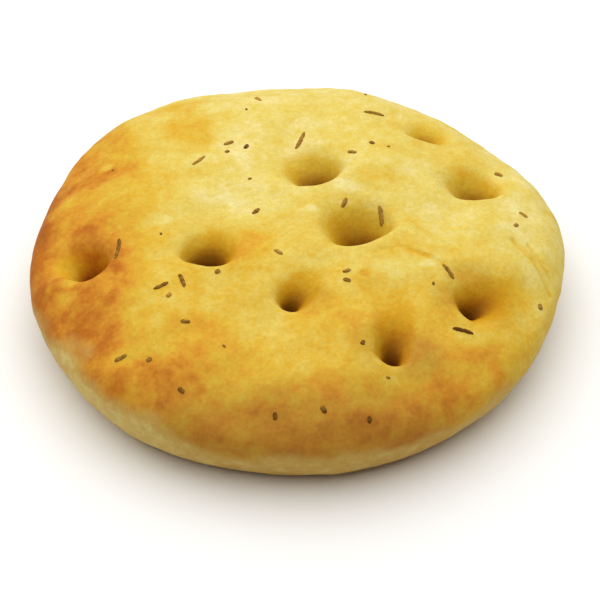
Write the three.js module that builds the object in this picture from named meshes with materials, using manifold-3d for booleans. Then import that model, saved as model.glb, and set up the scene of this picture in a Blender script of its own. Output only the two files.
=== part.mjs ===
// Focaccia roll: a low round bread with fingertip dimples and chopped rosemary baked onto its crust.
// Millimetres, +Z up. The origin lies under the middle of the roll, on the surface it rests on.
// Plan directions are in degrees, counter-clockwise from +X. The front of the roll faces -Y.

import * as THREE from 'three';
import { mergeVertices } from 'three/addons/utils/BufferGeometryUtils.js';
import Module from 'manifold-3d';

// Size of the roll
const ROLL_RADIUS = 59.7;
const CROWN_HEIGHT = 27;
const WAIST_HEIGHT = 12.5;
const LOWER_CURVE_DEPTH = 28;
const CROWN_FLATNESS = 2.5;

// Uneven outline left by shaping the dough by hand: each swell goes round the rim in equal lobes
const RIM_SWELLS = [
  { lobes: 1, swell: 1.2, direction: 195 },
  { lobes: 2, swell: 0.55, direction: -57 },
  { lobes: 3, swell: 0.8, direction: 5 },
  { lobes: 4, swell: 0.3, direction: 30 },
  { lobes: 5, swell: 0.35, direction: 0 },
  { lobes: 6, swell: 0.4, direction: 10 },
  { lobes: 7, swell: 0.2, direction: 24 },
  { lobes: 8, swell: 0.2, direction: 10 },
];

// Fingertip dimples, each deepest at x, y and half as deep at its reaches to the front, back and side.
// The front, towards the heading, is a crisp lip, and the back a gentle slope. A low bowl is a funnel.
const DIMPLES = [
  { x: -45.3, y: -11, heading: -28, depth: 8.5, front: 2.8, back: 5, side: 3.4, bowl: 1.5 },
  { x: -20.3, y: -13.5, heading: -106, depth: 11, front: 1.9, back: 3.9, side: 3.3, bowl: 1.25 },
  { x: 4.2, y: 14.3, heading: -54, depth: 9.5, front: 2.7, back: 5.3, side: 4.1, bowl: 1.4 },
  { x: 13.8, y: -5.3, heading: -61, depth: 11.5, front: 2.8, back: 5.6, side: 4.7, bowl: 1.4 },
  { x: 39.9, y: 12.2, heading: -66, depth: 9, front: 2.3, back: 4.6, side: 4, bowl: 1.4 },
  { x: 29, y: 31.3, heading: -105, depth: 3.6, front: 1.2, back: 4, side: 3.2, bowl: 1.4 },
  { x: -2.4, y: -26.6, heading: -128, depth: 10, front: 0.85, back: 1.45, side: 0.95, bowl: 0.62 },
  { x: 18.9, y: -41.6, heading: -98, depth: 10, front: 0.75, back: 2, side: 0.95, bowl: 0.6 },
  { x: 35.4, y: -25.2, heading: -150, depth: 9.5, front: 0.8, back: 2.3, side: 1.25, bowl: 0.62 },
];
const LIP_CRISPNESS = 2.2;
const LEAST_AWAY = 0.001;

// Soft lumps of the risen dough, from the longest to the shortest wave
const LUMP_COUNT = 7;
const LONGEST_LUMP = 44;
const LUMP_SHRINK = 0.8;
const LUMP_STEEPNESS = 0.01;
const LUMP_PHASE = THREE.MathUtils.degToRad(250);
const GOLDEN_ANGLE = Math.PI * (3 - Math.sqrt(5));

// Share of the height above the waist over which dimples and lumps fade in
const RELIEF_START = 0.15;
const RELIEF_FULL = 0.5;

// Rosemary needles that lie on the crust: turn is their direction in plan, and the underside of a
// piece is set deeper into the crust than its back stands out, by the root share
const NEEDLES = [
  { x: -39.5, y: -8.5, length: 6.5, turn: 85 },
  { x: -29.5, y: -22.5, length: 3.4, turn: 24 },
  { x: -25, y: -21.5, length: 4, turn: 108 },
  { x: -24, y: -32.8, length: 2, turn: 0 },
  { x: -22.5, y: 18, length: 4, turn: 46 },
  { x: -16, y: 25.5, length: 2.8, turn: 44 },
  { x: -12, y: 24.4, length: 2, turn: 64 },
  { x: -16.2, y: 21.3, length: 1.2, turn: 60 },
  { x: 0.4, y: 27.3, length: 5.6, turn: 69 },
  { x: -9.5, y: 0.9, length: 2.2, turn: 48 },
  { x: -9.5, y: 45.5, length: 3.3, turn: 116 },
  { x: -4.5, y: -13.5, length: 2.2, turn: 139 },
  { x: -17.5, y: -19.1, length: 1.2, turn: 30 },
  { x: 10, y: 4.5, length: 2.5, turn: 66 },
  { x: 18, y: 1.5, length: 4, turn: 97 },
  { x: 12, y: 21, length: 2.1, turn: 160 },
  { x: 16.6, y: 24.8, length: 1.3, turn: 140 },
  { x: 17.5, y: 38.5, length: 4.7, turn: 177 },
  { x: 32, y: -17.2, length: 4, turn: 122 },
  { x: 34.5, y: -32.1, length: 4.4, turn: 175 },
  { x: 45.5, y: 20.5, length: 1.9, turn: 160 },
  { x: 50, y: 5.5, length: 2.2, turn: 143 },
  { x: 48, y: 0.7, length: 1.5, turn: 60 },
  { x: 10.1, y: -18.8, length: 1.8, turn: 20 },
  { x: 10.1, y: -21.7, length: 1.7, turn: 160 },
  { x: 13.1, y: -39.4, length: 1.3, turn: 70 },
  { x: 52.1, y: -20, length: 1.4, turn: 80 },
  { x: -37.5, y: -39, length: 2.6, turn: 16 },
  { x: -31.4, y: -41, length: 1.1, turn: 30 },
  { x: -27.7, y: -25.4, length: 1.3, turn: 60 },
  { x: -24.5, y: -48.5, length: 1.6, turn: 140 },
  { x: -5.1, y: -54.7, length: 1.3, turn: 95 },
  { x: 4.8, y: -54, length: 1.6, turn: 130 },
  { x: 14.2, y: -55.1, length: 1.2, turn: 90 },
];
const NEEDLE_SHAPE = { width: 0.9, sides: 6, steps: 2 };
const NEEDLE_CURL = 0.03;
const ROOT_SHARE = 1.6;

// Crumbs of rosemary, spread evenly outward from the middle and nudged by seeded draws
const CRUMB_COUNT = 12;
const CRUMB_FIELD_RADIUS = 55;
const CRUMB_NUDGE = 7;
const CRUMB_SHAPE = { width: 0.6, sides: 5, steps: 1 };
const CRUMB_SHORTEST = 0.7;
const CRUMB_LONGEST = 1.1;
const CRUMB_SEED = 2911;
const CRUMB_DEEPEST_DIMPLE = 1;

// Fineness of the faceted skin: the dimpled top takes most of the facets
const BALL_DETAIL = 21;
const TOP_POLAR = THREE.MathUtils.degToRad(105);
const TOP_WALK = 55;
const WELD_DISTANCE = 1e-3;
const SLOPE_STEP = 0.2;

const CRUST_COLOUR = 0xe0b050;
const CRUST_ROUGHNESS = 0.6;

const wasm = await Module();
wasm.setup();

// Half section of the roll, from the crown over the waist to the bottom of the lower curve
class CrustProfile extends THREE.Curve {
  getPoint(t, target = new THREE.Vector2()) {
    const turn = t * Math.PI;
    if (turn < Math.PI / 2) {
      const reach = Math.sin(turn) ** (2 / CROWN_FLATNESS);
      const rise = (CROWN_HEIGHT - WAIST_HEIGHT) * Math.cos(turn);
      return target.set(ROLL_RADIUS * reach, WAIST_HEIGHT + rise);
    }
    return target.set(ROLL_RADIUS * Math.sin(turn), WAIST_HEIGHT + LOWER_CURVE_DEPTH * Math.cos(turn));
  }
}

// Radius of the waist in a plan direction
function rimRadius(azimuth) {
  let radius = ROLL_RADIUS;
  for (const { lobes, swell, direction } of RIM_SWELLS) {
    radius += swell * Math.cos(lobes * (azimuth - THREE.MathUtils.degToRad(direction)));
  }
  return radius;
}

// Height of the risen lumps at a plan point
function lumpHeight(x, y) {
  let height = 0;
  let wave = LONGEST_LUMP;
  for (let i = 0; i < LUMP_COUNT; i += 1) {
    const heading = i * GOLDEN_ANGLE;
    const travel = x * Math.cos(heading) + y * Math.sin(heading);
    height += LUMP_STEEPNESS * wave * Math.cos((2 * Math.PI * travel) / wave + heading + LUMP_PHASE);
    wave *= LUMP_SHRINK;
  }
  return height;
}

// Depth of the dimples at a plan point
function dimpleDepth(x, y) {
  const middle = new THREE.Vector2();
  const place = new THREE.Vector2();
  let depth = 0;
  for (const dimple of DIMPLES) {
    place.set(x - dimple.x, y - dimple.y);
    place.rotateAround(middle, -THREE.MathUtils.degToRad(dimple.heading));
    const ahead = place.x / (place.x > 0 ? dimple.front : dimple.back);
    const away = Math.hypot(ahead, place.y / dimple.side);
    const facing = ahead / Math.max(away, LEAST_AWAY);
    const bowl = dimple.bowl * THREE.MathUtils.lerp(1, LIP_CRISPNESS, (1 + facing) / 2);
    depth += dimple.depth * 0.5 ** (away ** bowl);
  }
  return depth;
}

// Height of the crust above a plan point inside the waist
function crustHeight(x, y) {
  const reach = Math.hypot(x, y) / rimRadius(Math.atan2(y, x));
  const share = Math.sqrt(Math.max(0, 1 - reach ** CROWN_FLATNESS));
  const relief = lumpHeight(x, y) - dimpleDepth(x, y);
  const fade = THREE.MathUtils.smoothstep(share, RELIEF_START, RELIEF_FULL);
  return WAIST_HEIGHT + (CROWN_HEIGHT - WAIST_HEIGHT) * share + fade * relief;
}

// How much longer the crust is than its plan, where it slopes
function crustStretch(x, y) {
  const along = (crustHeight(x + SLOPE_STEP, y) - crustHeight(x - SLOPE_STEP, y)) / (2 * SLOPE_STEP);
  const across = (crustHeight(x, y + SLOPE_STEP) - crustHeight(x, y - SLOPE_STEP)) / (2 * SLOPE_STEP);
  return Math.hypot(1, along, across);
}

// Move every vertex of a geometry by a function of its place
function reshape(geometry, move) {
  const positions = geometry.attributes.position;
  const point = new THREE.Vector3();
  for (let i = 0; i < positions.count; i += 1) {
    point.fromBufferAttribute(positions, i);
    move(point);
    positions.setXYZ(i, point.x, point.y, point.z);
  }
  return geometry;
}

// Weld a geometry into a closed solid that can be joined and cut
function toSolid(geometry) {
  geometry.deleteAttribute('normal');
  geometry.deleteAttribute('uv');
  const welded = mergeVertices(geometry, WELD_DISTANCE);
  const mesh = new wasm.Mesh({
    numProp: 3,
    vertProperties: Float32Array.from(welded.attributes.position.array),
    triVerts: Uint32Array.from(welded.index.array),
  });
  return new wasm.Manifold(mesh);
}

function toGeometry(solid) {
  const { vertProperties, triVerts } = solid.getMesh();
  const geometry = new THREE.BufferGeometry();
  geometry.setAttribute('position', new THREE.BufferAttribute(vertProperties, 3));
  geometry.setIndex(new THREE.BufferAttribute(triVerts, 1));
  geometry.computeVertexNormals();
  return geometry;
}

// The bread itself: a finely split ball drawn over the half section, then cut flat where it rests
function breadSolid() {
  const profile = new CrustProfile();
  const wholeWalk = profile.getLength();

  function walkFromCrown(polar) {
    if (polar < TOP_POLAR) {
      return (TOP_WALK * Math.sin(polar / 2)) / Math.sin(TOP_POLAR / 2);
    }
    return THREE.MathUtils.mapLinear(polar, TOP_POLAR, Math.PI, TOP_WALK, wholeWalk);
  }

  function drawOverSection(point) {
    const azimuth = Math.atan2(point.y, point.x);
    const polar = Math.acos(THREE.MathUtils.clamp(point.z, -1, 1));
    const section = profile.getPointAt(walkFromCrown(polar) / wholeWalk);
    const reach = (section.x * rimRadius(azimuth)) / ROLL_RADIUS;
    point.set(reach * Math.cos(azimuth), reach * Math.sin(azimuth), section.y);
    if (section.y > WAIST_HEIGHT) {
      point.z = crustHeight(point.x, point.y);
    }
  }

  const ball = new THREE.IcosahedronGeometry(1, BALL_DETAIL);
  const boardWidth = 4 * ROLL_RADIUS;
  const board = new THREE.BoxGeometry(boardWidth, boardWidth, LOWER_CURVE_DEPTH);
  board.translate(0, 0, -LOWER_CURVE_DEPTH / 2);
  return toSolid(reshape(ball, drawOverSection)).subtract(toSolid(board));
}

// One piece of rosemary, laid along the crust and rooted in it
function rosemarySolid({ x, y, length, turn, width, sides, steps }) {
  const heading = THREE.MathUtils.degToRad(turn);
  const piece = new THREE.CapsuleGeometry(width / 2, length - width, 1, sides, steps);

  function layOnCrust(point) {
    const along = point.y;
    const across = point.x + NEEDLE_CURL * (along * along - (length * length) / 12);
    const planX = x + along * Math.cos(heading) + across * Math.sin(heading);
    const planY = y + along * Math.sin(heading) - across * Math.cos(heading);
    const rise = point.z < 0 ? ROOT_SHARE * point.z : point.z;
    point.set(planX, planY, crustHeight(planX, planY) + rise * crustStretch(planX, planY));
  }

  return toSolid(reshape(piece, layOnCrust));
}

// Draws between 0 and 1 that come out the same on every run
function seededDraws(seed) {
  const modulus = 2147483647;
  let state = seed;
  return () => {
    state = (state * 16807) % modulus;
    return state / modulus;
  };
}

// Where the crumbs of rosemary lie: none deep in a dimple
function crumbPlaces() {
  const draw = seededDraws(CRUMB_SEED);
  const places = [];
  for (let i = 0; i < CRUMB_COUNT; i += 1) {
    const ring = CRUMB_FIELD_RADIUS * Math.sqrt((i + 0.5) / CRUMB_COUNT);
    const azimuth = i * GOLDEN_ANGLE;
    const x = ring * Math.cos(azimuth) + CRUMB_NUDGE * (draw() - 0.5);
    const y = ring * Math.sin(azimuth) + CRUMB_NUDGE * (draw() - 0.5);
    const length = THREE.MathUtils.lerp(CRUMB_SHORTEST, CRUMB_LONGEST, draw());
    const turn = 180 * draw();
    if (dimpleDepth(x, y) < CRUMB_DEEPEST_DIMPLE) {
      places.push({ x, y, length, turn });
    }
  }
  return places;
}

function focacciaRoll() {
  let solid = breadSolid();
  for (const needle of NEEDLES) {
    solid = solid.add(rosemarySolid({ ...needle, ...NEEDLE_SHAPE }));
  }
  for (const crumb of crumbPlaces()) {
    solid = solid.add(rosemarySolid({ ...crumb, ...CRUMB_SHAPE }));
  }
  const crust = new THREE.MeshStandardMaterial({ color: CRUST_COLOUR, roughness: CRUST_ROUGHNESS });
  const mesh = new THREE.Mesh(toGeometry(solid), crust);
  mesh.name = 'focaccia_roll';
  return mesh;
}

const roll = new THREE.Group();
roll.add(focacciaRoll());

export default roll;
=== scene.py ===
"""Focaccia roll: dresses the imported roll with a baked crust, chopped rosemary and a plain stage."""

import math
from typing import NamedTuple

import bmesh
import bpy
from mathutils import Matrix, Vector, noise


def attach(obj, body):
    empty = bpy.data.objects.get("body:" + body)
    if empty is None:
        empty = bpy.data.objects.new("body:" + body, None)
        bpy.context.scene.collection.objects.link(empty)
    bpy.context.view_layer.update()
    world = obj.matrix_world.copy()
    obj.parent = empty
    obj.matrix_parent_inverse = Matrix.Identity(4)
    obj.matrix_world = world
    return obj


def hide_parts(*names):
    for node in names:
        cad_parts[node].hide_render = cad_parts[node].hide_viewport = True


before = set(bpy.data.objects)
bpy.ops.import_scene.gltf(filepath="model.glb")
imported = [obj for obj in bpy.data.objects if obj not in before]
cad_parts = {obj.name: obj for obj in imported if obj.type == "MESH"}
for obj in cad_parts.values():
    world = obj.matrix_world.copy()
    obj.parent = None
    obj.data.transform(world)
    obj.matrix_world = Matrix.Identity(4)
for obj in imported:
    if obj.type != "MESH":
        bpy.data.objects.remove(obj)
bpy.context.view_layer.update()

bl_info = {
    "name": "Focaccia Roll",
    "version": (1, 0, 0),
    "blender": (4, 5, 0),
    "location": "3D View > Sidebar > Bakery",
    "description": "Makes a dimpled focaccia roll with rosemary baked onto its crust",
    "category": "Add Mesh",
}

# The shape is worked out in millimetres and scaled to metres at the end. Plan directions are in
# degrees, counter-clockwise from +X, and the front of the roll faces -Y.
MM = 0.001
ROLL_NODE = "focaccia_roll"
GOLDEN_ANGLE = math.pi * (3 - math.sqrt(5))
NEAR_ZERO = 0.001


class Swell(NamedTuple):
    """Wave of the outline that goes round the rim in equal lobes."""
    lobes: int
    swell: float
    direction: float


RIM_SWELLS = (
    Swell(1, 1.2, 195),
    Swell(2, 0.55, -57),
    Swell(3, 0.8, 5),
    Swell(4, 0.3, 30),
    Swell(5, 0.35, 0),
    Swell(6, 0.4, 10),
    Swell(7, 0.2, 24),
    Swell(8, 0.2, 10),
)


class Dimple(NamedTuple):
    """Fingertip hollow, deepest at x, y, and half as deep at its reaches to the front, back and sides.

    The front, towards the heading, is a crisp lip, and the back is a gentle slope. A low bowl makes a
    funnel, a high one a cup. Dark says how strongly painted shade darkens the bottom.
    """
    x: float
    y: float
    heading: float
    depth: float
    front: float
    back: float
    side: float
    bowl: float
    dark: float


DIMPLES = (
    Dimple(-45.3, -11, -28, 8.5, 2.8, 5, 3.4, 1.5, 0.9),
    Dimple(-20.3, -13.5, -106, 11, 1.9, 3.9, 3.3, 1.25, 2.2),
    Dimple(4.2, 14.3, -54, 9.5, 2.7, 5.3, 4.1, 1.4, 1.15),
    Dimple(13.8, -5.3, -61, 11.5, 2.8, 5.6, 4.7, 1.4, 1.2),
    Dimple(39.9, 12.2, -66, 9, 2.3, 4.6, 4, 1.4, 1.08),
    Dimple(29, 31.3, -105, 3.6, 1.2, 4, 3.2, 1.4, 0.7),
    Dimple(-2.4, -26.6, -128, 10, 0.85, 1.45, 0.95, 0.62, 2.1),
    Dimple(18.9, -41.6, -98, 10, 0.75, 2, 0.95, 0.6, 2),
    Dimple(35.4, -25.2, -150, 9.5, 0.8, 2.3, 1.25, 0.62, 1.85),
)

# How much faster a dimple fades at its lip than at its back, and the distance at which it ends
LIP_CRISPNESS = 2.2
DIMPLE_RANGE = 30

# Share of a dimple's depth at which painted shade starts to darken its colour
PIT_SHADE_START = 0.06


class Crease(NamedTuple):
    """Straight groove in the skin, from one plan point to another."""
    start: tuple
    end: tuple
    width: float
    depth: float


CREASES = (
    Crease((47, -4.5), (51.7, -9.6), 0.6, 0.6),
    Crease((51.7, -9.6), (54.8, -15.4), 0.6, 0.6),
    Crease((50.5, -4.7), (54.6, -11.3), 0.5, 0.5),
    Crease((21.5, -10.8), (26.6, -12.7), 0.6, 0.4),
    Crease((26.6, -12.7), (30.7, -15.2), 0.6, 0.5),
)

# Tone that a crease adds for each millimetre of its depth: browning and painted shade in the groove
CREASE_BROWNING_AND_SHADE = 0.3

# Soft lumps of the risen dough, from the longest to the shortest wave
LUMP_COUNT = 7
LONGEST_LUMP = 44
LUMP_SHRINK = 0.8
LUMP_STEEPNESS = 0.01
LUMP_PHASE = math.radians(250)

# Share of the height above the waist over which dimples and lumps fade in
RELIEF_START = 0.15
RELIEF_FULL = 0.5

# Fine relief of the skin: wavelength and height of each layer
SKIN_LAYERS = ((7.0, 0.22), (3.0, 0.1), (1.5, 0.05))

# Softness of the edge between the lower curve and the flat base
FOOT_ROUNDING = 0.9


class Patch(NamedTuple):
    """Blotch of the crust: its middle, its half widths along X and Y, and the tone that it adds."""
    x: float
    y: float
    wide: float
    deep: float
    tone: float


# Where the crust is browner or paler than its plain tone
BAKE_PATCHES = (
    # Brown left side and its rim
    Patch(-62, 0, 38, 56, 0.34),
    Patch(-46, -30, 12, 12, 0.16),
    Patch(-60, 4, 10, 46, 0.1),
    Patch(-41, -18, 11, 30, 0.09),
    Patch(-43, 23, 12, 12, 0.26),
    Patch(-43, 40, 14, 14, 0.14),
    Patch(-53, 34, 8, 15, 0.26),
    Patch(-60, 12, 6, 26, 0.26),
    Patch(-44, 38, 6, 7, 0.18),
    Patch(-54, 18, 4, 7, 0.2),
    Patch(-55, 0, 4, 7, 0.07),
    Patch(-54.5, -20, 4, 10, 0.08),
    Patch(-47, -2.5, 4.5, 3.5, 0.15),
    Patch(-40, -10, 4, 7, 0.18),
    # Golden blotches at the back
    Patch(-25, 32, 10, 12, 0.26),
    Patch(-27, 45, 11, 8, 0.2),
    Patch(-28, 16, 13, 15, 0.07),
    Patch(8, 29, 7, 7, 0.05),
    Patch(26, 31, 22, 16, 0.07),
    Patch(18, 13, 7, 4, 0.14),
    Patch(44, 14, 6, 7, 0.12),
    Patch(39.5, 22, 7, 6, 0.12),
    # Brown front edge, partly painted shade of the front slope
    Patch(-22, -36, 9, 9, 0.12),
    Patch(-30, -47, 18, 9, 0.21),
    Patch(-41, -43, 8.5, 6, 0.24),
    Patch(0, -60, 48, 16, 0.21),
    Patch(18, -56.5, 14, 3.5, 0.12),
    Patch(29, -51, 14, 8, 0.18),
    Patch(39, -40, 8, 9, 0.1),
    Patch(31, -43, 11, 10, 0.06),
    # Golden smears beside the dimples, partly painted shade on the slopes into them
    Patch(-10.5, -11.5, 7.5, 8, 0.17),
    Patch(-24, -20.5, 6, 4, 0.08),
    Patch(3, -27, 7, 6, 0.05),
    Patch(13, -36, 7, 7, 0.1),
    Patch(24, -38, 8, 7, 0.08),
    Patch(38, -19, 9, 8, 0.08),
    Patch(14.2, -20.6, 1.8, 1.6, 0.15),
    # Paler stretches of the top and the right side
    Patch(-13, 7, 9, 10, -0.09),
    Patch(-12, 18, 4, 4, -0.08),
    Patch(-8, -32, 8, 8, -0.09),
    Patch(-21, -27, 6, 5, -0.07),
    Patch(14, -16, 16, 8, -0.05),
    Patch(23, -16, 6, 6, -0.05),
    Patch(26, -19, 9, 7, -0.06),
    Patch(33, 0, 13, 11, -0.09),
    Patch(51, -3, 12, 20, -0.08),
    Patch(56, -20, 10, 18, -0.06),
    Patch(50.5, 20.6, 5, 7, -0.1),
    Patch(13, -52, 6, 3, -0.08),
    # Small pale flecks, partly painted highlights
    Patch(-31, -1.6, 3.5, 3.5, -0.18),
    Patch(11, 10, 5, 3, -0.13),
    Patch(1.5, 0.7, 3, 2, -0.15),
    Patch(29, -14.5, 3, 2, -0.2),
    Patch(-44, 22.8, 2.5, 2.5, -0.3),
    Patch(-52, 4, 3, 5, -0.08),
    Patch(-52, -9.5, 4, 4.5, -0.26),
    Patch(-49.5, -12, 4, 6, -0.15),
    Patch(-50.5, -16.5, 5, 3, -0.2),
    Patch(-51, -21.5, 3, 2, -0.12),
)

# Painted shade, as a duller brown, on the slopes beside the front dimples
SHADE_PATCHES = (
    Patch(24, -40, 9, 8, 0.36),
    Patch(14, -39, 6, 7, 0.22),
    Patch(19, -34, 6, 5, 0.16),
    Patch(37, -18, 8, 7, 0.2),
    Patch(43, -25, 7, 8, 0.1),
    Patch(31, -24, 4.5, 5, 0.22),
    Patch(3, -26, 6, 6, 0.14),
)

# A patch has its whole tone out to this share of its half widths. Its edge wanders by layers of seeded
# noise: the wavelength and reach of each.
PATCH_CORE = 0.35
PATCH_WANDER = ((11, 3.0), (4, 1.2))
WANDER_SEED = 1

# Plain tone of the top, and what the front adds to it, from where it starts to where it is whole: browning
# and painted shade
TOP_TONE = 0.16
FRONT_TONE_AND_SHADE = 0.24
FRONT_START = 26
FRONT_FULL = -40

# Share of painted shade, as a duller brown, on the front edge, from where it starts to where it is whole
FRONT_SHADE_SHARE = 0.44
FRONT_SHADE_START = -44
FRONT_SHADE_FULL = -57

# Unbrowned band round the lower side: its top edge, how softly that fades, how much the band climbs on one
# side, and how much painted light pales it there
BAND_TOP = 13.4
BAND_FADE = 5
BAND_CLIMB = 5
BAND_PAINTED_LIGHT = 0.5
BAND_CLIMB_SIDE = math.radians(222)
BAND_CLIMB_NARROWNESS = 12

# Even tone of the base, and the height over which it gives way to the side
BASE_TONE = 0.6
BASE_RISE = 1.2

# Paler ring round each needle of rosemary
HALO_REACH = 2.4
HALO_TONE = -0.05


class Needle(NamedTuple):
    """Rosemary needle lying on the crust, turned in plan, and roasted from 0, tan, to 1, dark."""
    x: float
    y: float
    length: float
    turn: float
    roast: float


NEEDLES = (
    Needle(-39.5, -8.5, 6.5, 85, 0.6),
    Needle(-29.5, -22.5, 3.4, 24, 0.6),
    Needle(-25, -21.5, 4, 108, 0.6),
    Needle(-24, -32.8, 2, 0, 0.6),
    Needle(-22.5, 18, 4, 46, 0.3),
    Needle(-16, 25.5, 2.8, 44, 0.3),
    Needle(-12, 24.4, 2, 64, 0.7),
    Needle(-16.2, 21.3, 1.2, 60, 0.6),
    Needle(0.4, 27.3, 5.6, 69, 0.4),
    Needle(-9.5, 0.9, 2.2, 48, 0.6),
    Needle(-9.5, 45.5, 3.3, 116, 0.2),
    Needle(-4.5, -13.5, 2.2, 139, 0.2),
    Needle(-17.5, -19.1, 1.2, 30, 0.4),
    Needle(10, 4.5, 2.5, 66, 0.4),
    Needle(18, 1.5, 4, 97, 0.4),
    Needle(12, 21, 2.1, 160, 0.3),
    Needle(16.6, 24.8, 1.3, 140, 0.6),
    Needle(17.5, 38.5, 4.7, 177, 0.5),
    Needle(32, -17.2, 4, 122, 0.5),
    Needle(34.5, -32.1, 4.4, 175, 1),
    Needle(45.5, 20.5, 1.9, 160, 0.2),
    Needle(50, 5.5, 2.2, 143, 0.2),
    Needle(48, 0.7, 1.5, 60, 0.4),
    Needle(10.1, -18.8, 1.8, 20, 0.4),
    Needle(10.1, -21.7, 1.7, 160, 0.5),
    Needle(13.1, -39.4, 1.3, 70, 0.8),
    Needle(52.1, -20, 1.4, 80, 0.4),
    Needle(-37.5, -39, 2.6, 16, 0.5),
    Needle(-31.4, -41, 1.1, 30, 0.5),
    Needle(-27.7, -25.4, 1.3, 60, 0.2),
    Needle(-24.5, -48.5, 1.6, 140, 0.6),
    Needle(-5.1, -54.7, 1.3, 95, 0.7),
    Needle(4.8, -54, 1.6, 130, 0.7),
    Needle(14.2, -55.1, 1.2, 90, 0.9),
)

# Needles are rods of so many sides, cut across and bent a little, with an uneven surface
NEEDLE_SIDES = 10
NEEDLE_CUTS = 9
NEEDLE_CURL = 0.03
NEEDLE_UNEVENNESS = 0.45

# How much thinner a needle's ends are, and how late along it they narrow
NEEDLE_TAPER = 0.6
NEEDLE_BLUNTNESS = 5

# Groove along a needle's back, in shares of its half width
GROOVE_DEPTH = 0.35
GROOVE_HALF_WIDTH = 0.6

# Crumbs of rosemary, spread evenly outward from the middle and nudged by seeded draws
CRUMB_COUNT = 12
CRUMB_FIELD_RADIUS = 52.5
CRUMB_NUDGE = 7
CRUMB_SHORTEST = 0.7
CRUMB_LONGEST = 1.1
CRUMB_LARGEST_TURN = 180
CRUMB_ROAST = 0.5
CRUMB_SEED = 2911
CRUMB_DEEPEST_DIMPLE = 0.4
CRUMB_SUBDIVISIONS = 2
CRUMB_UNEVENNESS = 0.25
CRUMB_LUMPINESS = 1.5

# Fineness of the ball that becomes the bread. All of it above this polar angle is drawn over the top, out
# to this share of the rim's radius, so that the dimples get most of the faces.
BALL_SUBDIVISIONS = 6
BALL_CUTS = 2
TOP_POLAR = math.radians(105)
TOP_REACH = 0.92

# Half the distance over which the crust's slope is measured
SLOPE_STEP = 0.2

# How much each kind of unevenness shifts the tone of the crust
CLOUD_TONE = 0.3
MOTTLE_TONE = 0.42
GRAIN_TONE = 0.22
BLISTER_TONE = 0.08
VEIN_TONE = 0.06

# Usual share of the browned crust that is blistered
BLISTER_COVER = 0.4

# How much of the lower side the dough covers, how raggedly it covers, and how raggedly painted light pales
# it
DOUGH_COVER = 0.8
COVER_RAGGEDNESS = 1.3
PAINTED_LIGHT_RAGGEDNESS = 1.2

# How far the finest speckle lightens and darkens the crust, in all
SPECKLE_SWING = 0.28

# Share of the pores in the crust's bump: the rest is grain
PORE_SHARE = 0.6

# Tints of painted shade in a dimple, from its clear rim to its darkest bottom
PIT_SHADE_TINTS = (
    (0.0, (1, 1, 1)),
    (0.1, (0.9, 0.78, 0.37)),
    (0.26, (0.8, 0.64, 0.2)),
    (0.43, (0.58, 0.39, 0.1)),
    (0.62, (0.33, 0.18, 0.03)),
    (1.0, (0.125, 0.05, 0.006)),
)

# How far streaks shift the roast of a needle, in all
ROAST_STREAKS = 1.1

# Sockets of a Mix node that carry its share and its colours
MIX_SHARE = 0
MIX_START = 6
MIX_END = 7
MIX_RESULT = 2

# Floor just under the roll and large light over it, in metres
FLOOR_HALF_WIDTH = 3
FLOOR_DROP = 0.05 * MM
LIGHT_PLACE = (-0.05, 0.17, 0.75)
LIGHT_WIDTH = 1.8

# The camera stands off the roll's middle, and aims to the right of it and below it, in millimetres
ROLL_MIDDLE = (-1.1, 0.2, 12)
AIM_RIGHT = 1.25
AIM_DOWN = 8.75
SENSOR_WIDTH = 36


def linear(red, green, blue):
    """Scene colour of an 8-bit display colour."""
    def channel(value):
        share = value / 255
        return share / 12.92 if share <= 0.04045 else ((share + 0.055) / 1.055) ** 2.4
    return channel(red), channel(green), channel(blue)


def colour(name, description, default):
    """Colour setting of a finish."""
    return bpy.props.FloatVectorProperty(
        name=name, description=description, subtype="COLOR", size=3, min=0, max=1, default=default)


def length(name, description, millimetres):
    """Length setting, given in millimetres and kept in metres."""
    return bpy.props.FloatProperty(
        name=name, description=description, subtype="DISTANCE", unit="LENGTH", default=millimetres * MM)


class RollShape(bpy.types.PropertyGroup):
    """Driving sizes of the roll."""
    radius: length("Radius", "Mean radius at the waist, where the roll is widest", 59.7)
    crown: length("Crown", "Height of the dome above the surface it rests on", 27)
    waist: length("Waist", "Height of the widest line", 12.5)
    lower_depth: length("Lower depth", "Depth of the curve under the waist before it is cut flat", 28)
    flatness: bpy.props.FloatProperty(
        name="Flatness", description="2 gives an elliptic dome, more a flatter top", default=2.5, min=2)


class CrustColours(bpy.types.PropertyGroup):
    """Colours of the crust from the palest to the most baked."""
    dough: colour("Dough", "Unbrowned dough of the lower side", linear(195, 162, 86))
    # Painted light: colour of the band where it faces the left front
    painted_lit_dough: colour("Pale dough", "Palest part of the lower side", linear(210, 188, 114))
    # Pale also colours the small flecks, partly painted highlights
    pale: colour("Pale", "Floury spots of the top", linear(228, 212, 143))
    straw: colour("Straw", "Palest part of the top", linear(217, 193, 94))
    golden: colour("Golden", "Most of the top", linear(212, 171, 54))
    amber: colour("Amber", "Browned rim", linear(207, 144, 43))
    brown: colour("Brown", "Well browned patches", linear(185, 109, 31))
    dark: colour("Dark", "Darkest edges", linear(162, 91, 27))
    # Colour of the painted shade on the front edge and beside the front dimples
    dull: colour("Dull", "Less red brown of the front edge", linear(138, 98, 42))


class RosemaryLook(bpy.types.PropertyGroup):
    """Size and colours of the chopped rosemary."""
    needle_width: length("Needle width", "Width of a needle", 0.9)
    crumb_width: length("Crumb width", "Width of a crumb", 0.6)
    tan: colour("Tan", "Least roasted rosemary", linear(180, 138, 54))
    dark: colour("Dark", "Most roasted rosemary", linear(96, 54, 8))


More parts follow.
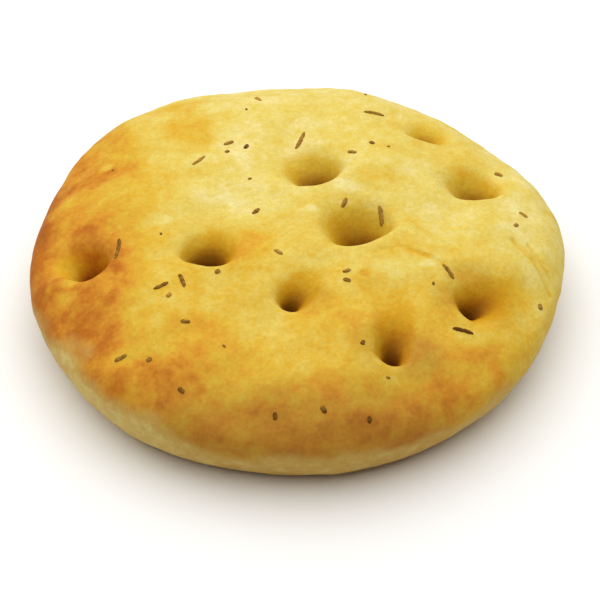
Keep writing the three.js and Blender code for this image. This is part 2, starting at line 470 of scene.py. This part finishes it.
class StageSetup(bpy.types.PropertyGroup):
    """Floor, lights and camera."""
    floor: colour("Floor", "Plain pale floor", linear(246, 245, 242))
    sky: bpy.props.FloatProperty(name="Sky", description="Strength of the even light", default=0.14)
    key: bpy.props.FloatProperty(
        name="Key", description="Power of the large light over the roll", unit="POWER", default=18)
    elevation: bpy.props.FloatProperty(
        name="Elevation", description="Camera's angle above the floor", subtype="ANGLE",
        default=math.radians(42))
    distance: length("Distance", "From the camera to the middle of the roll", 520)
    lens: bpy.props.FloatProperty(name="Lens", description="Focal length", unit="CAMERA", default=139.3)


def smoothstep(low, high, value):
    """Soft step from 0 at low to 1 at high."""
    share = min(1, max(0, (value - low) / (high - low)))
    return share * share * (3 - 2 * share)


def lerp(start, end, share):
    """Value part of the way from start to end."""
    return start + (end - start) * share


class Crust:
    """The roll's outer surface and how far it is baked, in millimetres."""

    def __init__(self, shape):
        self.radius = shape.radius / MM
        self.crown = shape.crown / MM
        self.waist = shape.waist / MM
        self.lower_depth = shape.lower_depth / MM
        self.flatness = shape.flatness
        self.top_turn = math.asin(TOP_REACH ** (self.flatness / 2))

    def rim(self, azimuth):
        """Radius of the waist in a plan direction."""
        return self.radius + sum(
            wave.swell * math.cos(wave.lobes * (azimuth - math.radians(wave.direction)))
            for wave in RIM_SWELLS)

    def lumps(self, x, y):
        """Height of the risen lumps at a plan point."""
        height = 0
        wave = LONGEST_LUMP
        for i in range(LUMP_COUNT):
            heading = i * GOLDEN_ANGLE
            travel = x * math.cos(heading) + y * math.sin(heading)
            height += LUMP_STEEPNESS * wave * math.cos(2 * math.pi * travel / wave + heading + LUMP_PHASE)
            wave *= LUMP_SHRINK
        return height

    def dimples(self, x, y):
        """Dimples near a plan point, each with the share of its depth there."""
        for dimple in DIMPLES:
            east, north = x - dimple.x, y - dimple.y
            if math.hypot(east, north) < DIMPLE_RANGE:
                heading = math.radians(dimple.heading)
                ahead = east * math.cos(heading) + north * math.sin(heading)
                ahead /= dimple.front if ahead > 0 else dimple.back
                aside = (north * math.cos(heading) - east * math.sin(heading)) / dimple.side
                away = math.hypot(ahead, aside)
                facing = ahead / max(away, NEAR_ZERO)
                crispness = lerp(1, LIP_CRISPNESS, (1 + facing) / 2)
                yield dimple, 0.5 ** away ** (dimple.bowl * crispness)

    def hollow(self, x, y):
        """Depth of the dimples at a plan point."""
        return sum(dimple.depth * share for dimple, share in self.dimples(x, y))

    def crease(self, x, y):
        """Depth of the deepest crease at a plan point."""
        depth = 0
        for crease in CREASES:
            start, end = Vector(crease.start), Vector(crease.end)
            along = (Vector((x, y)) - start).dot(end - start) / (end - start).length_squared
            share = min(1, max(0, along))
            away = (Vector((x, y)) - start.lerp(end, share)).length / crease.width
            depth = max(depth, crease.depth * math.exp(-away * away))
        return depth

    def height(self, x, y):
        """Height of the crust above a plan point inside the waist."""
        reach = math.hypot(x, y) / self.rim(math.atan2(y, x))
        share = math.sqrt(max(0, 1 - reach ** self.flatness))
        relief = self.lumps(x, y) - self.hollow(x, y)
        fade = smoothstep(RELIEF_START, RELIEF_FULL, share)
        return self.waist + (self.crown - self.waist) * share + fade * relief

    def stretch(self, x, y):
        """How much longer the crust is than its plan, where it slopes."""
        along = self.height(x + SLOPE_STEP, y) - self.height(x - SLOPE_STEP, y)
        across = self.height(x, y + SLOPE_STEP) - self.height(x, y - SLOPE_STEP)
        return math.hypot(1, along / (2 * SLOPE_STEP), across / (2 * SLOPE_STEP))

    def point(self, direction):
        """Place on the crust that a direction from the middle of a ball is drawn to."""
        azimuth = math.atan2(direction.y, direction.x)
        polar = math.acos(min(1, max(-1, direction.z)))
        if polar < TOP_POLAR:
            reach = TOP_REACH * math.sin(polar / 2) / math.sin(TOP_POLAR / 2)
            turn = 0
        else:
            share = (polar - TOP_POLAR) / (math.pi - TOP_POLAR)
            turn = lerp(self.top_turn, math.pi, share)
            reach = math.sin(turn) ** (2 / self.flatness) if turn < math.pi / 2 else math.sin(turn)
        reach *= self.rim(azimuth)
        x = reach * math.cos(azimuth)
        y = reach * math.sin(azimuth)
        if turn < math.pi / 2:
            return Vector((x, y, self.height(x, y)))
        drop = self.waist + self.lower_depth * math.cos(turn)
        return Vector((x, y, (drop + math.hypot(drop, FOOT_ROUNDING)) / 2))

    def skin(self, place):
        """Fine relief of the skin at a place."""
        rise = sum(high * noise.noise(place / wave) for wave, high in SKIN_LAYERS)
        if place.z > self.waist:
            rise -= self.crease(place.x, place.y)
        return rise * smoothstep(0, BASE_RISE, place.z)

    def blotches(self, patches, x, y):
        """Sum of the patches over a plan point."""
        tone = 0
        for patch in patches:
            away = math.hypot((x - patch.x) / patch.wide, (y - patch.y) / patch.deep)
            if away < 1:
                tone += patch.tone * smoothstep(1, PATCH_CORE, away)
        return tone

    def bake(self, place):
        """How far the crust is baked at a place, from 0, floury pale, to 1, darkest brown."""
        x, y = place.xy
        for wave, reach in PATCH_WANDER:
            wander = reach * noise.noise_vector(place / wave)
            x += wander.x
            y += wander.y
        # The front's extra tone is browning and partly painted shade of the front slope
        tone = TOP_TONE + FRONT_TONE_AND_SHADE * smoothstep(FRONT_START, FRONT_FULL, y)
        tone += self.blotches(BAKE_PATCHES, x, y)
        # Browning and painted shade along the creases
        tone += CREASE_BROWNING_AND_SHADE * self.crease(place.x, place.y)
        tone += HALO_TONE * self.halo(x, y)
        return lerp(BASE_TONE, tone, smoothstep(0, BASE_RISE, place.z))

    def halo(self, x, y):
        """Share of the paler ring round a rosemary needle at a plan point."""
        nearest = min(math.hypot(x - needle.x, y - needle.y) - needle.length / 2 for needle in NEEDLES)
        return smoothstep(HALO_REACH, 0, nearest)

    def dull(self, place):
        """Share of painted shade, a duller and less red brown, at a place."""
        share = FRONT_SHADE_SHARE * smoothstep(FRONT_SHADE_START, FRONT_SHADE_FULL, place.y)
        return share + self.blotches(SHADE_PATCHES, place.x, place.y)

    def side(self, place):
        """Share of unbrowned dough at a place: 0 on the top and the base, over 1 where painted light pales
        it.
        """
        wander = sum(reach * noise.noise(place / wave) for wave, reach in PATCH_WANDER)
        turn = math.atan2(place.y, place.x) - BAND_CLIMB_SIDE
        climb = max(0, math.cos(turn)) ** BAND_CLIMB_NARROWNESS
        top = BAND_TOP + BAND_CLIMB * climb - wander
        share = smoothstep(top, top - BAND_FADE, place.z) * smoothstep(0, BASE_RISE, place.z)
        return share * (1 + BAND_PAINTED_LIGHT * climb)

    def pit(self, place):
        """How much painted shade darkens a dimple at a place: 0 outside it, and 1 or more at its dark
        bottom.
        """
        if place.z < BAND_TOP - BAND_FADE:
            return 0
        return sum(
            dimple.dark * max(0, share - PIT_SHADE_START) ** max(1, dimple.bowl)
            for dimple, share in self.dimples(place.x, place.y))


class Wire:
    """Output of a material node. Arithmetic on wires adds Math nodes."""

    def __init__(self, finish, socket):
        self.finish = finish
        self.socket = socket

    def math(self, operation, left, right):
        """Result of a Math node on two wires or numbers."""
        return self.finish.add("ShaderNodeMath", {0: left, 1: right}, operation=operation)

    def __add__(self, other):
        return self.math("ADD", self, other)

    def __radd__(self, other):
        return self.math("ADD", other, self)

    def __sub__(self, other):
        return self.math("SUBTRACT", self, other)

    def __rsub__(self, other):
        return self.math("SUBTRACT", other, self)

    def __mul__(self, other):
        return self.math("MULTIPLY", self, other)

    def __rmul__(self, other):
        return self.math("MULTIPLY", other, self)

    def swing(self, reach):
        """Noise moved to swing about 0, by the given reach in all."""
        return reach * (self - 0.5)


class Finish:
    """Material whose nodes are added one by one and wired to its surface shader."""

    def __init__(self, name):
        old = bpy.data.materials.get(name)
        if old:
            bpy.data.materials.remove(old)
        self.material = bpy.data.materials.new(name)
        self.material.use_nodes = True
        self.tree = self.material.node_tree
        self.surface = self.tree.nodes["Principled BSDF"]
        self.place = self.add("ShaderNodeTexCoord", {}, "Object")

    def connect(self, socket, value):
        """Link a wire to a socket, or set the socket's own value."""
        if isinstance(value, Wire):
            self.tree.links.new(value.socket, socket)
        elif hasattr(value, "__len__"):
            socket.default_value = (*value, 1)[:len(socket.default_value)]
        else:
            socket.default_value = value

    def add(self, kind, sockets, output=0, **settings):
        """Add a node with its settings, set or link its input sockets, and return one of its outputs."""
        node = self.tree.nodes.new(kind)
        for name, value in settings.items():
            setattr(node, name, value)
        for key, value in sockets.items():
            self.connect(node.inputs[key], value)
        return Wire(self, node.outputs[output])

    def attribute(self, name):
        """Value that the mesh keeps at each of its points."""
        return self.add("ShaderNodeAttribute", {}, "Fac", attribute_name=name)

    def noise(self, size, detail=2, roughness=0.5):
        """Noise from 0 to 1 with blotches of about the given size in millimetres."""
        sockets = {"Vector": self.place, "Scale": 1 / (size * MM), "Detail": detail, "Roughness": roughness}
        return self.add("ShaderNodeTexNoise", sockets)

    def borders(self, size, waves=2, bend=0.7):
        """Distance from the borders between cells of about the given size in millimetres.

        The borders bend in so many waves to a cell, by a share of its size.
        """
        scale = 1 / (size * MM)
        reach = (bend / scale,) * 3
        wander = self.add("ShaderNodeTexNoise", {"Vector": self.place, "Scale": waves * scale}, "Color")
        shift = {0: wander, 1: reach, 2: self.place}
        bent = self.add("ShaderNodeVectorMath", shift, operation="MULTIPLY_ADD")
        cells = {"Vector": bent, "Scale": scale}
        return self.add("ShaderNodeTexVoronoi", cells, feature="DISTANCE_TO_EDGE")

    def ramp(self, value, stops):
        """Colour at a value, between stops of a place and a colour."""
        wire = self.add("ShaderNodeValToRGB", {"Fac": value})
        elements = wire.socket.node.color_ramp.elements
        while len(elements) < len(stops):
            elements.new(1)
        for element, (position, shade) in zip(elements, stops):
            element.position = position
            element.color = (*shade, 1)
        return wire

    def step(self, value, low, high):
        """Soft step from 0 at low to 1 at high."""
        sockets = {"Value": value, "From Min": low, "From Max": high}
        return self.add("ShaderNodeMapRange", sockets, interpolation_type="SMOOTHSTEP")

    def mix(self, share, start, end, blend="MIX"):
        """Colour part of the way from start to end, or from start to the blend of both."""
        sockets = {MIX_SHARE: share, MIX_START: start, MIX_END: end}
        return self.add("ShaderNodeMix", sockets, MIX_RESULT, data_type="RGBA", blend_type=blend)

    def tint(self, base, shade):
        """Colour multiplied by a shade."""
        return self.mix(1, base, shade, blend="MULTIPLY")

    def bump(self, height, distance, strength):
        """Normal of a relief that rises by so many millimetres as its height goes from 0 to 1."""
        sockets = {"Height": height, "Distance": distance * MM, "Strength": strength}
        return self.add("ShaderNodeBump", sockets)

    def shade(self, **sockets):
        """Set or link sockets of the surface shader, named with underscores for spaces."""
        for name, value in sockets.items():
            self.connect(self.surface.inputs[name.replace("_", " ")], value)
        return self.material


def baked_colour(finish, colours, mottle, grain):
    """Colour of the crust by how far it is baked: cloudy, mottled, blistered where browned, with painted
    shade on the front.
    """
    cloud = finish.noise(size=9, detail=3)
    bake = finish.attribute("bake")
    browned = finish.step(bake, low=0.35, high=0.6)
    blister = finish.step(finish.noise(size=8, detail=3), low=0.45, high=0.53)
    vein = finish.step(finish.borders(size=15), low=0.12, high=0)
    tone = bake + cloud.swing(CLOUD_TONE) + mottle.swing(MOTTLE_TONE) + grain.swing(GRAIN_TONE)
    tone += browned * (BLISTER_TONE * (blister - BLISTER_COVER) - VEIN_TONE * vein)
    top = finish.ramp(tone, (
        (0.0, colours.pale),
        (0.2, colours.straw),
        (0.4, colours.golden),
        (0.6, colours.amber),
        (0.8, colours.brown),
        (1.0, colours.dark),
    ))
    # Painted shade: a duller brown over the front edge and beside the front dimples
    return finish.mix(finish.attribute("dull"), top, colours.dull)


def crust_finish(colours):
    """Baked crust: pale to dark brown on top, doughy low down and finely pored; painted shade darkens the
    dimples and front.
    """
    finish = Finish("baked_crust")
    mottle = finish.noise(size=3.5, detail=4, roughness=0.6)
    grain = finish.noise(size=1.1, detail=3)
    top = baked_colour(finish, colours, mottle, grain)
    side = finish.attribute("side")
    # Painted light pales the band on its left front side
    painted_light = finish.step(side + mottle.swing(PAINTED_LIGHT_RAGGEDNESS), low=0.9, high=1.6)
    dough = finish.mix(painted_light, colours.dough, colours.painted_lit_dough)
    cover = finish.step(side, low=0, high=1) * (DOUGH_COVER + mottle.swing(COVER_RAGGEDNESS))
    base = finish.mix(cover, top, dough)
    # Painted shade of the dimples, darkest at their bottoms
    pit = finish.ramp(finish.attribute("pit"), PIT_SHADE_TINTS)
    speckle = 1 + finish.noise(size=0.7).swing(SPECKLE_SWING)
    relief = PORE_SHARE * finish.noise(size=2.2, detail=4) + (1 - PORE_SHARE) * grain
    return finish.shade(
        Base_Color=finish.tint(finish.tint(base, pit), speckle),
        Roughness=0.6 + mottle.swing(0.2),
        Normal=finish.bump(relief, distance=0.5, strength=0.35),
        Specular_IOR_Level=0.05,
    )


def rosemary_finish(look):
    """Dried rosemary: tan to dark brown, streaked and matt."""
    finish = Finish("dried_rosemary")
    roast = finish.attribute("roast") + finish.noise(size=1, detail=3).swing(ROAST_STREAKS)
    return finish.shade(
        Base_Color=finish.mix(finish.step(roast, low=0, high=1), look.tan, look.dark),
        Roughness=0.82 - 0.2 * roast,
        Normal=finish.bump(finish.noise(size=0.3), distance=0.1, strength=0.4),
        Specular_IOR_Level=0.1,
    )


def floor_finish(stage):
    """Plain pale floor, matt."""
    finish = Finish("pale_floor")
    return finish.shade(Base_Color=stage.floor, Roughness=0.9, Specular_IOR_Level=0.1)


def new_object(name, data):
    """Link a new object at the origin, in place of an older one of the same name."""
    old = bpy.data.objects.get(name)
    if old:
        bpy.data.objects.remove(old)
    made = bpy.data.objects.new(name, data)
    bpy.context.scene.collection.objects.link(made)
    return made


def new_mesh_object(name, bm, material):
    """Turn a bmesh into a smooth object of one material."""
    mesh = bpy.data.meshes.new(name)
    bm.to_mesh(mesh)
    bm.free()
    mesh.shade_smooth()
    mesh.materials.append(material)
    return new_object(name, mesh)


def new_piece(name, bm, material):
    """Make a piece of the roll from a bmesh in millimetres. It rides on the roll's only body."""
    bmesh.ops.scale(bm, vec=(MM, MM, MM), verts=bm.verts)
    piece = new_mesh_object(name, bm, material)
    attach(piece, "root")
    return piece


def bread_mesh(crust):
    """Finely split ball drawn over the crust, with the baking of each point."""
    bm = bmesh.new()
    bmesh.ops.create_icosphere(bm, subdivisions=BALL_SUBDIVISIONS, radius=1)
    bmesh.ops.subdivide_edges(bm, edges=bm.edges, cuts=BALL_CUTS, use_grid_fill=True)
    for vert in bm.verts:
        vert.co = crust.point(vert.co.normalized())
    bm.normal_update()
    noise.seed_set(WANDER_SEED)
    looks = {"bake": crust.bake, "dull": crust.dull, "side": crust.side, "pit": crust.pit}
    layers = [(bm.verts.layers.float.new(name), look) for name, look in looks.items()]
    for vert in bm.verts:
        for layer, look in layers:
            vert[layer] = look(vert.co)
        vert.co += vert.normal * crust.skin(vert.co)
    return bm


def seeded_draws(seed):
    """Numbers between 0 and 1 that come out the same on every run."""
    modulus = 2147483647
    multiplier = 16807
    state = seed
    while True:
        state = state * multiplier % modulus
        yield state / modulus


def crumb_places(crust):
    """Where the crumbs of rosemary lie: none deep in a dimple."""
    draws = seeded_draws(CRUMB_SEED)
    places = []
    for i in range(CRUMB_COUNT):
        ring = CRUMB_FIELD_RADIUS * math.sqrt((i + 0.5) / CRUMB_COUNT)
        azimuth = i * GOLDEN_ANGLE
        x = ring * math.cos(azimuth) + CRUMB_NUDGE * (next(draws) - 0.5)
        y = ring * math.sin(azimuth) + CRUMB_NUDGE * (next(draws) - 0.5)
        span = lerp(CRUMB_SHORTEST, CRUMB_LONGEST, next(draws))
        turn = CRUMB_LARGEST_TURN * next(draws)
        if crust.hollow(x, y) < CRUMB_DEEPEST_DIMPLE:
            places.append(Needle(x, y, span, turn, CRUMB_ROAST))
    return places


def lay_on_crust(crust, place, along, across, up):
    """Carry a point of a needle or crumb, in its own directions, onto the crust."""
    heading = math.radians(place.turn)
    x = place.x + along * math.cos(heading) - across * math.sin(heading)
    y = place.y + along * math.sin(heading) + across * math.cos(heading)
    return Vector((x, y, crust.height(x, y) + up * crust.stretch(x, y)))


def add_rod(bm):
    """Add a rod of radius 1 from -1 to 1 along Z, cut into rings, and return its vertices."""
    start = len(bm.verts)
    rod = bmesh.ops.create_cone(
        bm, cap_ends=True, cap_tris=True, segments=NEEDLE_SIDES, radius1=1, radius2=1, depth=2)
    lengthwise = [
        edge
        for vert in rod["verts"]
        for edge in vert.link_edges
        if edge.other_vert(vert).co.z > vert.co.z
    ]
    bmesh.ops.subdivide_edges(bm, edges=lengthwise, cuts=NEEDLE_CUTS)
    bm.verts.ensure_lookup_table()
    return bm.verts[start:]


def needle_mesh(crust, width):
    """Curved needles with a groove along the back and tapered ends."""
    bm = bmesh.new()
    roast = bm.verts.layers.float.new("roast")
    for needle in NEEDLES:
        for vert in add_rod(bm):
            across, up, end = vert.co
            grain = Vector((across, up, end * needle.length + needle.x))
            ragged = 1 + NEEDLE_UNEVENNESS * noise.noise(grain)
            girth = ragged * width / 2 * (1 - NEEDLE_TAPER * abs(end) ** NEEDLE_BLUNTNESS)
            groove = GROOVE_DEPTH * max(0, up) * max(0, 1 - abs(across) / GROOVE_HALF_WIDTH)
            along = end * needle.length / 2
            mean_square = needle.length ** 2 / 12
            bow = NEEDLE_CURL * (along ** 2 - mean_square)
            vert[roast] = needle.roast
            vert.co = lay_on_crust(crust, needle, along, girth * across + bow, girth * (up - groove))
    bmesh.ops.recalc_face_normals(bm, faces=bm.faces)
    return bm


def crumb_mesh(crust, width):
    """Small uneven crumbs."""
    bm = bmesh.new()
    roast = bm.verts.layers.float.new("roast")
    for number, crumb in enumerate(crumb_places(crust)):
        start = len(bm.verts)
        bmesh.ops.create_icosphere(bm, subdivisions=CRUMB_SUBDIVISIONS, radius=1)
        bm.verts.ensure_lookup_table()
        half_size = Vector((crumb.length, width, width)) / 2
        for vert in bm.verts[start:]:
            spot = vert.co * CRUMB_LUMPINESS + Vector((number, 0, 0))
            uneven = 1 + CRUMB_UNEVENNESS * noise.noise(spot)
            vert[roast] = crumb.roast
            vert.co = lay_on_crust(crust, crumb, *(uneven * half_size * vert.co))
    bmesh.ops.recalc_face_normals(bm, faces=bm.faces)
    return bm


class FOCACCIA_OT_bread(bpy.types.Operator):
    """Shape and bake the bread in place of the plain roll"""
    bl_idname = "focaccia.bread"
    bl_label = "Bake the Bread"
    bl_options = {"REGISTER", "UNDO"}

    def execute(self, context):
        crust = Crust(context.scene.roll_shape)
        bread = new_piece("bread", bread_mesh(crust), crust_finish(context.scene.crust_colours))
        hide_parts(ROLL_NODE)
        return {"FINISHED"}


class FOCACCIA_OT_rosemary(bpy.types.Operator):
    """Lay rosemary needles and crumbs on the crust"""
    bl_idname = "focaccia.rosemary"
    bl_label = "Scatter the Rosemary"
    bl_options = {"REGISTER", "UNDO"}

    def execute(self, context):
        crust = Crust(context.scene.roll_shape)
        look = context.scene.rosemary_look
        finish = rosemary_finish(look)
        new_piece("rosemary_needles", needle_mesh(crust, look.needle_width / MM), finish)
        new_piece("rosemary_crumbs", crumb_mesh(crust, look.crumb_width / MM), finish)
        return {"FINISHED"}


def add_floor(stage):
    """Wide plain floor just under the roll."""
    bm = bmesh.new()
    bmesh.ops.create_grid(bm, x_segments=1, y_segments=1, size=FLOOR_HALF_WIDTH)
    bmesh.ops.translate(bm, vec=(0, 0, -FLOOR_DROP), verts=bm.verts)
    new_mesh_object("floor", bm, floor_finish(stage))


def new_sky(stage):
    """World of even white light."""
    world = bpy.data.worlds.new("even_light")
    world.use_nodes = True
    background = world.node_tree.nodes["Background"]
    background.inputs["Color"].default_value = (1, 1, 1, 1)
    background.inputs["Strength"].default_value = stage.sky
    return world


def add_overhead_light(stage):
    """Large square light, high up and a little behind, aimed at the roll."""
    light = bpy.data.lights.new("overhead_light", "AREA")
    light.shape = "SQUARE"
    light.size = LIGHT_WIDTH
    light.energy = stage.key
    lamp = new_object("overhead_light", light)
    lamp.location = LIGHT_PLACE
    lamp.rotation_euler = (-lamp.location).to_track_quat("-Z", "Y").to_euler()


def new_camera(stage):
    """Camera in front of the roll, looking down on it."""
    camera = bpy.data.cameras.new("camera")
    camera.lens = stage.lens
    camera.sensor_width = SENSOR_WIDTH
    view = new_object("camera", camera)
    back = Vector((0, -math.cos(stage.elevation), math.sin(stage.elevation)))
    up = Vector((0, math.sin(stage.elevation), math.cos(stage.elevation)))
    middle = MM * Vector(ROLL_MIDDLE)
    aim = middle + MM * (Vector((AIM_RIGHT, 0, 0)) - AIM_DOWN * up)
    view.location = middle + stage.distance * back
    view.rotation_euler = (aim - view.location).to_track_quat("-Z", "Y").to_euler()
    return view


class FOCACCIA_OT_stage(bpy.types.Operator):
    """Set the floor, the soft lights and the camera"""
    bl_idname = "focaccia.stage"
    bl_label = "Set the Stage"
    bl_options = {"REGISTER", "UNDO"}

    def execute(self, context):
        scene = context.scene
        stage = scene.stage_setup
        add_floor(stage)
        scene.world = new_sky(stage)
        add_overhead_light(stage)
        scene.view_settings.view_transform = "Standard"
        scene.camera = new_camera(stage)
        return {"FINISHED"}


class FOCACCIA_PT_bakery(bpy.types.Panel):
    """Steps and settings of the focaccia roll"""
    bl_label = "Focaccia Roll"
    bl_idname = "FOCACCIA_PT_bakery"
    bl_space_type = "VIEW_3D"
    bl_region_type = "UI"
    bl_category = "Bakery"

    def draw(self, context):
        for operator, settings in STEPS:
            box = self.layout.box()
            box.operator(operator.bl_idname)
            for name in settings:
                group = getattr(context.scene, name)
                for key in group.__annotations__:
                    box.prop(group, key)


STEPS = (
    (FOCACCIA_OT_bread, ("roll_shape", "crust_colours")),
    (FOCACCIA_OT_rosemary, ("rosemary_look",)),
    (FOCACCIA_OT_stage, ("stage_setup",)),
)
SETTINGS = {
    "roll_shape": RollShape,
    "crust_colours": CrustColours,
    "rosemary_look": RosemaryLook,
    "stage_setup": StageSetup,
}
CLASSES = (*SETTINGS.values(), *(operator for operator, settings in STEPS), FOCACCIA_PT_bakery)


def register():
    """Add the settings, the operators and the panel."""
    for cls in CLASSES:
        bpy.utils.register_class(cls)
    for name, group in SETTINGS.items():
        setattr(bpy.types.Scene, name, bpy.props.PointerProperty(type=group))


def unregister():
    """Take the settings, the operators and the panel away again."""
    for name in SETTINGS:
        delattr(bpy.types.Scene, name)
    for cls in reversed(CLASSES):
        bpy.utils.unregister_class(cls)


def main():
    """Make the roll and its stage."""
    register()
    bpy.ops.focaccia.bread()
    bpy.ops.focaccia.rosemary()
    bpy.ops.focaccia.stage()


if __name__ == "__main__":
    main()
